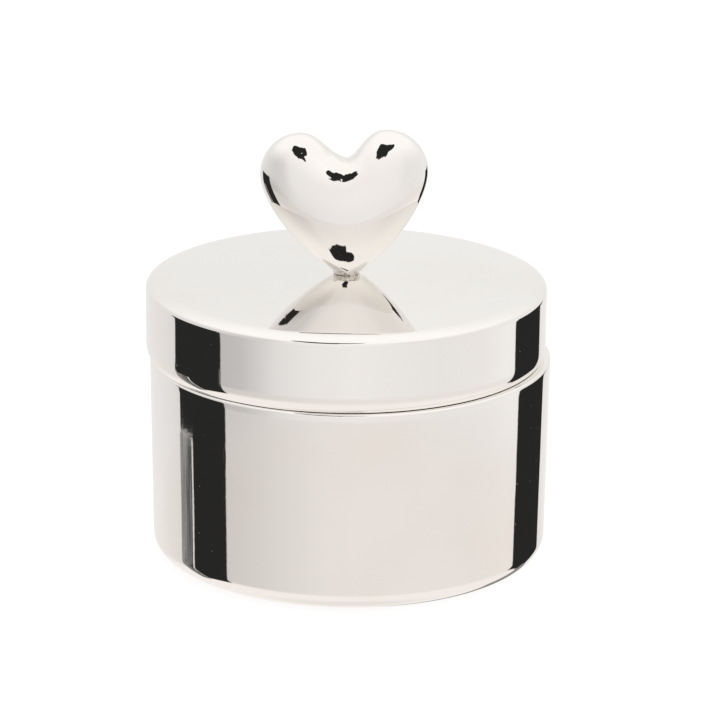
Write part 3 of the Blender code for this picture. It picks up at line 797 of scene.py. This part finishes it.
def overhead_gap(tree, azimuth, elevation, swing):
    """Dark ragged opening above the camera, narrow at its waist and leaning apart upwards."""
    left = edge_by_elevation(tree, elevation, GAP_LEFT)
    right = edge_by_elevation(tree, elevation, GAP_RIGHT)
    azimuth = math_node(tree, "ADD", azimuth, swing)
    soft = EDGE_SOFTNESS
    inside = math_node(tree, "MULTIPLY",
                       remap(tree, math_node(tree, "SUBTRACT", azimuth, left), -soft, soft),
                       remap(tree, math_node(tree, "SUBTRACT", right, azimuth), -soft, soft))
    elevation = math_node(tree, "ADD", elevation, swing)
    return math_node(tree, "MULTIPLY", inside, band(tree, elevation, GAP_LOW, GAP_HIGH, soft))


def flag(tree, azimuth, elevation, sides, feet, top):
    """Upright black flag between two azimuths, its foot sloping from one elevation to another."""
    foot = remap(tree, azimuth, sides[0], sides[1], feet[0], feet[1], smooth=False)
    above_foot = remap(tree, math_node(tree, "SUBTRACT", elevation, foot), -EDGE_SOFTNESS, EDGE_SOFTNESS)
    below_top = remap(tree, elevation, top - EDGE_SOFTNESS, top + EDGE_SOFTNESS, 1.0, 0.0)
    upright = math_node(tree, "MULTIPLY", above_foot, below_top)
    return math_node(tree, "MULTIPLY", band(tree, azimuth, *sides, 0.5), upright)


def grey_panel(tree, light, direction, azimuth, elevation):
    """The light with a streaky grey panel laid over it, round the corner of a bright edge."""
    side = remap(tree, elevation, PANEL_TOP - PANEL_BEND, PANEL_TOP, PANEL_SIDES[1], PANEL_SIDES[0])
    beyond = math_node(tree, "SUBTRACT", side, azimuth)
    upright = math_node(tree, "MULTIPLY", remap(tree, elevation, PANEL_TOP, PANEL_TOP + 0.04, 1.0, 0.0),
                        remap(tree, elevation, PANEL_FOOT - EDGE_SOFTNESS, PANEL_FOOT + EDGE_SOFTNESS))
    upright = math_node(tree, "MULTIPLY", upright, remap(tree, azimuth, PANEL_SIDES[0] - 0.4, PANEL_SIDES[0]))
    grain = add_node(tree, "ShaderNodeTexNoise", {"Vector": direction, "Scale": 60.0, "Detail": 1.0})
    grey = remap(tree, grain.outputs["Fac"], 0.3, 0.7, 0.04, 0.20)
    grey = math_node(tree, "ADD", grey, remap(tree, azimuth, -104.0, -115.0, 0.0, 0.16))
    panel = math_node(tree, "MULTIPLY", remap(tree, beyond, 0.5, 1.2), upright)
    light = mix_colour(tree, panel, light, grey)
    edge = math_node(tree, "MULTIPLY", band(tree, beyond, -0.2, 1.1, 0.4), upright)
    return mix_colour(tree, edge, light, (0.75, 0.73, 0.71, 1.0))


def make_world():
    """Soft white studio by direction: two black flags, a grey panel and card, a dark gap overhead."""
    world = bpy.data.worlds.new("studio")
    bpy.context.scene.world = world
    world.use_nodes = True
    tree = world.node_tree
    tree.nodes.clear()
    direction = add_node(tree, "ShaderNodeTexCoord").outputs["Generated"]
    axis = add_node(tree, "ShaderNodeSeparateXYZ", {0: direction}).outputs
    towards = math_node(tree, "MULTIPLY", axis[1], -1.0)
    azimuth = math_node(tree, "MULTIPLY", math_node(tree, "ARCTAN2", axis[0], towards), degrees(1.0))
    elevation = math_node(tree, "MULTIPLY", math_node(tree, "ARCSINE", axis[2]), degrees(1.0))

    light = around(tree, azimuth, LIGHT_AT_BODY)
    lid_level = remap(tree, elevation, *LID_LEVEL)
    light = mix_colour(tree, lid_level, light, around(tree, azimuth, LIGHT_AT_LID))
    above = remap(tree, elevation, *ABOVE_LEVEL)
    light = mix_colour(tree, above, light, around(tree, azimuth, LIGHT_ABOVE))
    below = remap(tree, elevation, *BELOW_LEVEL, 1.0, 0.0)
    light = mix_colour(tree, below, light, (LIGHT_BELOW,) * 3 + (1,))
    under = remap(tree, elevation, *UNDER_LEVEL, 1.0, 0.0)
    light = mix_colour(tree, under, light, (LIGHT_UNDER,) * 3 + (1,))
    overhead = remap(tree, elevation, *OVERHEAD_LEVEL)
    light = mix_colour(tree, overhead, light, (LIGHT_OVERHEAD,) * 3 + (1,))

    tint = mix_colour(tree, remap(tree, elevation, -20.8, -19.6), TINT_LOW, TINT_BASE)
    behind = math_node(tree, "MULTIPLY", remap(tree, axis[1], 0.0, 0.4), remap(tree, elevation, -4.0, 8.0))
    tint = mix_colour(tree, behind, tint, TINT_BEHIND)
    light = mix_colour(tree, 1.0, light, tint, "MULTIPLY")

    ragged = add_node(tree, "ShaderNodeTexNoise", {"Vector": direction, "Scale": 7.0, "Detail": 2.0})
    swing = remap(tree, ragged.outputs["Fac"], 0.3, 0.7, -GAP_SWING, GAP_SWING, smooth=False)
    left = flag(tree, azimuth, elevation, *LEFT_FLAG)
    right = flag(tree, azimuth, elevation, *RIGHT_FLAG)
    gap = overhead_gap(tree, azimuth, elevation, swing)
    dark = math_node(tree, "MAXIMUM", math_node(tree, "MAXIMUM", left, right), gap)
    light = mix_colour(tree, dark, light, (FLAG,) * 3 + (1,))
    light = grey_panel(tree, light, direction, azimuth, elevation)
    card = math_node(tree, "MULTIPLY", band(tree, azimuth, *FOOT_CARD_SIDES, 1.5),
                     band(tree, elevation, *FOOT_CARD_HEIGHTS, 1.0))
    light = mix_colour(tree, card, light, (FOOT_CARD,) * 3 + (1,))

    seen = add_node(tree, "ShaderNodeLightPath").outputs["Is Camera Ray"]
    light = mix_colour(tree, seen, light, (1.0, 1.0, 1.0, 1.0))
    background = add_node(tree, "ShaderNodeBackground", {"Color": light})
    output = add_node(tree, "ShaderNodeOutputWorld")
    tree.links.new(background.outputs[0], output.inputs[0])


def make_floor():
    """White sweep that glows enough to stay white and takes only a faint contact shadow."""
    mesh = bpy.data.meshes.new("floor")
    half = FLOOR_HALF
    mesh.from_pydata([(-half, -half, 0), (half, -half, 0), (half, half, 0), (-half, half, 0)], [],
                     [(0, 1, 2, 3)])
    material = bpy.data.materials.new("white_sweep")
    material.use_nodes = True
    shader = material.node_tree.nodes["Principled BSDF"]
    shader.inputs["Base Color"].default_value = FLOOR_GREY
    shader.inputs["Roughness"].default_value = 1.0
    shader.inputs["Specular IOR Level"].default_value = 0.0
    shader.inputs["Emission Color"].default_value = (1.0, 1.0, 1.0, 1.0)
    shader.inputs["Emission Strength"].default_value = FLOOR_GLOW
    mesh.materials.append(material)
    floor = bpy.data.objects.new("floor", mesh)
    bpy.context.scene.collection.objects.link(floor)
    floor.visible_glossy = False


def make_camera():
    """Camera at the front, a little above, with a long lens."""
    away = Vector((0.0, -cos(CAMERA_ELEVATION), sin(CAMERA_ELEVATION))) * CAMERA_DISTANCE
    forward = (CAMERA_TARGET - away).normalized()
    right = forward.cross(Vector((0, 0, 1))).normalized()
    up = right.cross(forward)
    rolled_right = right * cos(CAMERA_ROLL) + up * sin(CAMERA_ROLL)
    rolled_up = up * cos(CAMERA_ROLL) - right * sin(CAMERA_ROLL)
    data = bpy.data.cameras.new("camera")
    data.lens = CAMERA_LENS
    data.sensor_width = 36.0
    data.clip_start = 0.01
    data.clip_end = 50.0
    camera = bpy.data.objects.new("camera", data)
    turn = Matrix((rolled_right, rolled_up, -forward)).transposed()
    camera.matrix_world = Matrix.Translation(away) @ turn.to_4x4()
    bpy.context.scene.collection.objects.link(camera)
    bpy.context.scene.camera = camera
    bpy.context.scene.view_settings.view_transform = "Standard"


# ---------------------------------------------------------------- assembly


body_shell()
base_felt()
crowned_pad("floor_pad_velvet", "floor_pad", "base", 1, 0.0, 4.0)
wall_lining()
neck_ring()
lid_shell()
crowned_pad("lid_pad_velvet", "lid_pad", "lid", -1, LID_CENTRE, 9.0)
knob_collar()
heart_knob()
dress_hidden_nodes()
make_world()
make_floor()
make_camera()
